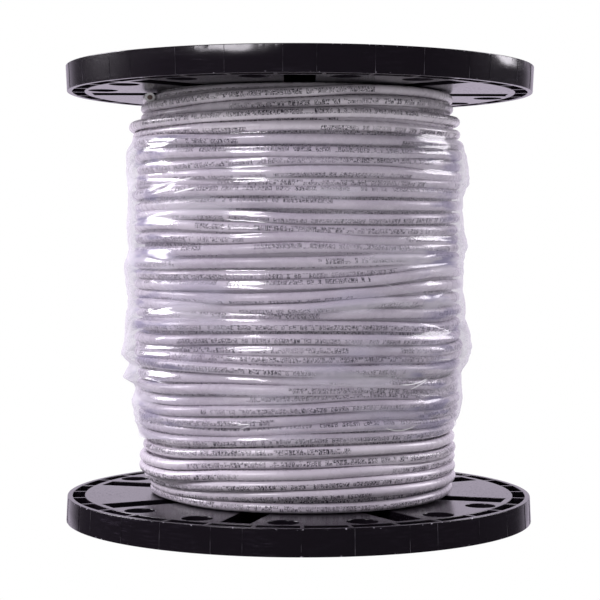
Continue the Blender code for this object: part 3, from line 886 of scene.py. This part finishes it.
def filmMesh():
    f = film
    angle = 2 * math.pi * np.arange(f["around"]) / f["around"]
    share = np.linspace(0, 1, f["rows"])
    low = f["bottom"] + f["slope"] * np.cos(angle) + f["lowWander"] * edgeWaves(angle, 0.0)
    high = f["top"] + f["highWander"] * edgeWaves(angle, 0.2)
    z = low[:, None] + (high - low)[:, None] * share[None, :]
    a = np.broadcast_to(angle[:, None], z.shape)
    left = np.interp(z / mm, *zip(*leftFilm)) * mm
    right = np.interp(z / mm, *zip(*rightFilm)) * mm
    crest = crestRadius(a, z)
    # The stand-off at left and right fades into closer film at front and back
    toSide = np.cos(a)
    sides = np.where(toSide < 0, left, right) + wire["aside"] * toSide - crest
    weight = np.abs(toSide) ** f["sideFade"]
    loose = f["loose"] + f["waves"] * filmWaves(a, z) + f["ripples"] * filmRipples(a, z)
    standOff = loose * (1 - weight) + (sides + 0.15 * (loose - f["loose"])) * weight
    standOff = standOff - f["folds"] * np.maximum(0, 1 - np.abs(filmFolds(a, z)) * 4)
    # Where it is pulled tight it lies on the turns
    standOff = f["tight"] * np.logaddexp(0, standOff / f["tight"])
    hold = smooth(share / f["heldLow"]) * smooth((1 - share) / f["heldHigh"])
    cling = f["cling"] * np.clip(0.8 + 0.4 * clingWaves(a, z), 0.1, 1.4) * (1 - 0.6 * weight)
    dips = cling * (1 + np.cos(2 * math.pi * turnCount(angle, z)))
    curl = f["curl"] * np.maximum(0, edgeWaves(a, 0.5)) * smooth(1 - share / 0.015)
    radius = crest + f["gap"] + standOff * hold - dips + curl
    verts = np.stack([radius * np.cos(a), radius * np.sin(a), z], axis=-1).reshape(-1, 3).tolist()
    rows = f["rows"]
    faces = []
    for k in range(f["around"]):
        after = (k + 1) % f["around"]
        faces += [(k * rows + i, after * rows + i, after * rows + i + 1, k * rows + i + 1)
                  for i in range(rows - 1)]
    mesh = bpy.data.meshes.new("clear_film_sleeve")
    mesh.from_pydata(verts, [], faces)
    mesh.shade_smooth()
    return mesh


def clearFilm():
    # Polyethylene film, blown thin: clear and glossy face on, hazy and grey where seen edge on
    material, tree = newMaterial("clear polyethylene film")
    place = addNode(tree, "TexCoord").outputs["Object"]
    stretch = addNode(tree, "Mapping", {}, {"Vector": place, "Scale": (1.0, 1.0, 5.0)})
    wrinkles = addNode(tree, "TexNoise", {},
                       {"Vector": stretch, "Scale": 20.0, "Detail": 2.0, "Distortion": 0.4})
    bump = addNode(tree, "Bump", {}, {"Height": wrinkles, "Strength": 0.3, "Distance": 0.0008})
    facing = addNode(tree, "LayerWeight", {}, {"Blend": 0.5, "Normal": bump}).outputs["Facing"]
    steep = addNode(tree, "Math", power, {0: facing, 1: 3.0})
    # Loose, doubled stretches are foggy in bands that run round the reel
    bands = addNode(tree, "Mapping", {}, {"Vector": place, "Scale": (1.0, 1.0, 4.0)})
    fogs = addNode(tree, "TexNoise", {}, {"Vector": bands, "Scale": 17.0, "Detail": 2.0})
    fog = addNode(tree, "MapRange", softStep, {
        "Value": fogs, "From Min": 0.52, "From Max": 0.72, "To Min": 0.1, "To Max": 0.45})
    haze = addNode(tree, "MapRange", {}, {"Value": steep, "To Min": fog, "To Max": 0.64})
    # Painted shade: darker lavender streaks just inside its left and right edges
    fine = addNode(tree, "Mapping", {}, {"Vector": place, "Scale": (1.0, 1.0, 6.0)})
    shadeStreakNoise = addNode(tree, "TexNoise", {}, {"Vector": fine, "Scale": 30.0, "Detail": 2.0})
    shadeStreak = addNode(tree, "MapRange", softStep, {"Value": shadeStreakNoise, "From Min": 0.46, "From Max": 0.62})
    inside = addNode(tree, "MapRange", {}, {"Value": steep, "From Min": 0.015, "From Max": 0.07})
    beyond = addNode(tree, "MapRange", {}, {
        "Value": steep, "From Min": 0.22, "From Max": 0.42, "To Min": 1.0, "To Max": 0.0})
    for mask in (inside, beyond):
        shadeStreak = addNode(tree, "Math", multiply, {0: shadeStreak, 1: mask})
    haze = addNode(tree, "Math", {"operation": "MULTIPLY_ADD", "use_clamp": True},
                   {0: shadeStreak, 1: 0.36, 2: haze})
    split = addNode(tree, "SeparateXYZ", inputs={0: place}).outputs
    angle = addNode(tree, "Math", {"operation": "ARCTAN2"}, {0: split["Y"], 1: split["X"]})
    # Painted highlights: white lines along the creases in the film's haze
    white = 0.0
    for start, end, sag, width, strength in creaseGlints:
        along = addNode(tree, "MapRange", {"clamp": False}, {
            "Value": angle, "From Min": math.radians(start[0]), "From Max": math.radians(end[0])})
        line = addNode(tree, "Math", multiplyAdd, {0: along, 1: (end[1] - start[1]) * mm, 2: start[1] * mm})
        fromMiddle = addNode(tree, "Math", subtract, {0: along, 1: 0.5})
        away = addNode(tree, "Math", absolute, {0: fromMiddle})
        squared = addNode(tree, "Math", power, {0: away, 1: 2.0})
        bend = addNode(tree, "Math", multiplyAdd, {0: squared, 1: -4 * sag * mm, 2: sag * mm})
        curve = addNode(tree, "Math", {"operation": "ADD"}, {0: line, 1: bend})
        off = addNode(tree, "Math", subtract, {0: split["Z"], 1: curve})
        off = addNode(tree, "Math", absolute, {0: off})
        near = addNode(tree, "MapRange", softStep, {
            "Value": off, "From Min": 0.0, "From Max": width * mm,
            "To Min": strength, "To Max": 0.0})
        within = addNode(tree, "MapRange", {}, {
            "Value": squared, "From Min": 0.1, "From Max": 0.25, "To Min": 1.0, "To Max": 0.0})
        here = addNode(tree, "Math", multiply, {0: near, 1: within})
        white = addNode(tree, "Math", maximum, {0: here, 1: white})
    haze = addNode(tree, "Math", maximum, {0: haze, 1: white})
    shine = addNode(tree, "MapRange", {}, {"Value": steep, "To Min": 0.075, "To Max": 0.2})
    clear = addNode(tree, "BsdfTransparent", {}, {"Color": linear(film["clear"])})
    # Doubled and stretched areas look more lavender
    layers = addNode(tree, "TexNoise", {}, {"Vector": stretch, "Scale": 9.0, "Detail": 2.0})
    doubled = addNode(tree, "MapRange", {}, {"Value": layers, "From Min": 0.45, "From Max": 0.65})
    flat = addNode(tree, "Math", {"operation": "SUBTRACT", "use_clamp": True}, {0: doubled, 1: steep})
    tint = linear(film["milky"])
    # The painted crease highlights are mixed in as white
    for mask, colour in ((flat, film["doubled"]), (steep, film["edgeOn"]), (shadeStreak, film["streakShade"]),
                         (white, "#ffffff")):
        tint = addNode(tree, "Mix", colourMix,
                       {"Factor": mask, "A": tint, "B": linear(colour)}).outputs["Result"]
    milk = addNode(tree, "BsdfDiffuse", {}, {"Color": tint, "Normal": bump})
    gloss = addNode(tree, "BsdfGlossy", {}, {
        "Color": linear("#ffffff"), "Roughness": film["roughness"], "Normal": bump})
    body = addNode(tree, "MixShader", {}, {0: haze, 1: clear, 2: milk})
    surface = addNode(tree, "MixShader", {}, {0: shine, 1: body, 2: gloss})
    addNode(tree, "OutputMaterial", {}, {"Surface": surface})
    return material


sleeve = bpy.data.objects.new("clear_film_sleeve", filmMesh())
sleeve.data.materials.append(clearFilm())
scene.collection.objects.link(sleeve)
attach(sleeve, "root")
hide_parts("clear_film")
print("film made:", len(sleeve.data.polygons), "faces")


# Floor, lights and surroundings
studio = {
    "floorSize": 8.0,
    "keyAngle": -125, "keyRise": 34, "keySize": (0.55, 0.5), "keyPower": 12,
    "leftAngle": 165, "leftRise": 25, "leftSize": (0.65, 0.7), "leftPower": 21,
    "rightAngle": 19, "rightRise": 28, "rightSize": (0.8, 0.8), "rightPower": 14,
    "distance": 1.6,
    "aimHeight": 0.15,
    "lightColour": "#fcf7ff",
    "behind": 0.95,            # how bright the surroundings are behind the reel, and in front of it
    "front": 0.58,
    "mirrorFront": 0.05,       # how bright shiny faces mirror the front
    "mirrorEdge": 0.71,        # where the mirrored room starts to brighten towards the back
    "lowShift": 0.07,
    "aroundColour": "#f6f2fb",
    "mirrorColour": "#f2e6fb",
}
floorMesh = bpy.data.meshes.new("studio_floor")
reach = studio["floorSize"]
corners = [(-reach, -reach, 0), (reach, -reach, 0), (reach, reach, 0), (-reach, reach, 0)]
floorMesh.from_pydata(corners, [], [(0, 1, 2, 3)])
floor = bpy.data.objects.new("studio_floor", floorMesh)
scene.collection.objects.link(floor)
material, tree = newMaterial("white paper sweep")
# Lit so strongly that it is plain white in the picture, as the photo's is
glow = addNode(tree, "Emission", {}, {"Color": linear("#ffffff"), "Strength": 1.0})
addNode(tree, "OutputMaterial", {}, {"Surface": glow})
floorMesh.materials.append(material)
floor.visible_glossy = False

for name in ("key", "left", "right"):
    lightData = bpy.data.lights.new(name, "AREA")
    lightData.shape = "RECTANGLE"
    lightData.size, lightData.size_y = studio[name + "Size"]
    lightData.energy = studio[name + "Power"]
    lightData.color = linear(studio["lightColour"])[:3]
    light = bpy.data.objects.new(name, lightData)
    azimuth, rise = math.radians(studio[name + "Angle"]), math.radians(studio[name + "Rise"])
    away = Vector((*polar(math.cos(rise), azimuth), math.sin(rise)))
    light.location = Vector((0, 0, studio["aimHeight"])) + away * studio["distance"]
    light.rotation_euler = away.to_track_quat("Z", "Y").to_euler()
    scene.collection.objects.link(light)

world = bpy.data.worlds.new("white studio")
scene.world = world
world.use_nodes = True
tree = world.node_tree
tree.nodes.clear()
toward = addNode(tree, "TexCoord").outputs["Generated"]
split = addNode(tree, "SeparateXYZ", inputs={0: toward}).outputs
# Soft light comes from all round, most from behind the reel.
# Shiny faces mirror a room that is dark except behind.
soft = addNode(tree, "MapRange", softStep, {
    "Value": split["Y"], "From Min": -0.5, "From Max": 0.6,
    "To Min": studio["front"], "To Max": studio["behind"]})
below = addNode(tree, "MapRange", {}, {
    "Value": split["Z"], "From Min": 0.0, "From Max": -0.3,
    "To Min": 0.0, "To Max": studio["lowShift"]})
shifted = addNode(tree, "Math", {"operation": "ADD"}, {0: split["Y"], 1: below})
mirrored = addNode(tree, "MapRange", softStep, {
    "Value": shifted, "From Min": studio["mirrorEdge"], "From Max": 1.0,
    "To Min": studio["mirrorFront"], "To Max": studio["behind"]})
ray = addNode(tree, "LightPath").outputs
around = addNode(tree, "Background", {}, {"Color": linear(studio["aroundColour"]), "Strength": soft})
mirror = addNode(tree, "Background", {}, {"Color": linear(studio["mirrorColour"]), "Strength": mirrored})
white = addNode(tree, "Background", {}, {"Color": linear("#ffffff"), "Strength": 1.0})
lit = addNode(tree, "MixShader", {}, {0: ray["Is Glossy Ray"], 1: around, 2: mirror})
mixed = addNode(tree, "MixShader", {}, {0: ray["Is Camera Ray"], 1: lit, 2: white})
addNode(tree, "OutputWorld", {}, {"Surface": mixed})
scene.view_settings.view_transform = "Standard"
print("studio lit")
